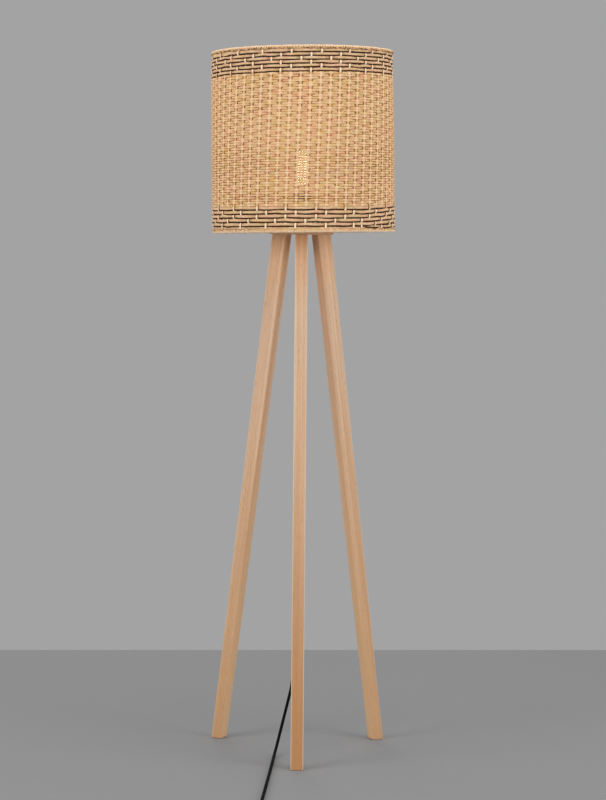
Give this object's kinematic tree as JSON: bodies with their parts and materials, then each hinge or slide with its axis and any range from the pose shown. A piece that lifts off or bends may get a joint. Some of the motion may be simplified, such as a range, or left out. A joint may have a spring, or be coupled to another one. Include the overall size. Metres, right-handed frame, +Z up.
{
  "type": "rattan floor lamp",
  "caption": "Floor lamp with a tall woven drum shade over a round wooden hub, splayed, tapered wooden legs, a screw-in bulb and a cord with an inline foot switch and plug.",
  "frame": {"origin": "on the floor under the middle of the hub", "axes": "+Z up along the lamp's axis, -Y towards the viewer and the front leg, +X to the right"},
  "size_m": [0.3982, 0.9244, 1.5243],
  "materials": {
    "wood": "satin",
    "straw": "matte",
    "straw_pale": "matte",
    "dark_straw": "matte",
    "black_steel": "satin",
    "steel": "satin",
    "brass": "satin",
    "ceramic": "gloss",
    "black_plastic": "matte",
    "aluminium": "satin",
    "glass": "gloss",
    "filament": "gloss",
    "black_rubber": "matte"
  },
  "bodies": {
    "stand": {"hub_disc": "wood", "leg_front": "wood", "leg_left": "wood", "leg_right": "wood", "leg_dowel_front": "wood", "leg_dowel_left": "wood", "leg_dowel_right": "wood", "leg_bolt_front": "steel", "leg_bolt_left": "steel", "leg_bolt_right": "steel", "leg_washer_front": "steel", "leg_washer_left": "steel", "leg_washer_right": "steel", "leg_insert_front": "brass", "leg_insert_left": "brass", "leg_insert_right": "brass", "stem_tube": "steel", "stem_washer": "steel", "stem_nut_lower": "steel", "stem_nut_upper": "steel", "cord_grip": "black_plastic", "holder_cap": "black_plastic", "holder_sleeve": "black_plastic", "holder_core": "ceramic", "holder_contact": "brass", "holder_screw_shell": "brass", "shade_nut": "black_plastic", "shade_weave": "straw", "shade_stakes": "straw_pale", "shade_dark_rows_lower": "dark_straw", "shade_dark_rows_upper": "dark_straw", "shade_border_lower": "straw", "shade_border_upper": "straw", "shade_ring_lower": "black_steel", "shade_ring_upper": "black_steel", "shade_spider": "black_steel", "cord_lead": "black_rubber", "cord_tail": "black_rubber", "cord_coil": "black_rubber", "cord_end": "black_rubber", "cord_tie": "black_plastic", "switch_base": "black_plastic", "switch_cover": "black_plastic", "switch_spring": "steel", "switch_screw_1": "steel", "switch_screw_2": "steel", "plug_body": "black_plastic", "plug_pin_left": "steel", "plug_pin_right": "steel"},
    "switch_button": {"switch_button": "black_plastic"},
    "bulb_contact": {"bulb_tip": "steel"},
    "bulb": {"bulb_cap": "aluminium", "bulb_insulator": "black_plastic", "bulb_glass": "glass", "bulb_stem": "glass", "bulb_filament": "filament"}
  },
  "joints": [
    {"name": "switch_press", "type": "slide", "parent": "stand", "child": "switch_button", "axis": [0, 0, -1], "range_m": [0, 0.003], "stiffness_N_per_m": 600, "springref_m": -0.002, "deforming": ["switch_spring"]},
    {"name": "bulb_rise", "type": "slide", "parent": "stand", "child": "bulb_contact", "axis": [0, 0, 1], "range_m": [0, 0.01815]},
    {"name": "bulb_turn", "type": "hinge", "parent": "bulb_contact", "child": "bulb", "pos_m": [0, 0, 1.21], "axis": [0, 0, 1], "range_deg": [0, 1800]}
  ],
  "couplings": [
    {"joint": "bulb_turn", "follows": "bulb_rise", "rad_per_m": 1730.9}
  ]
}
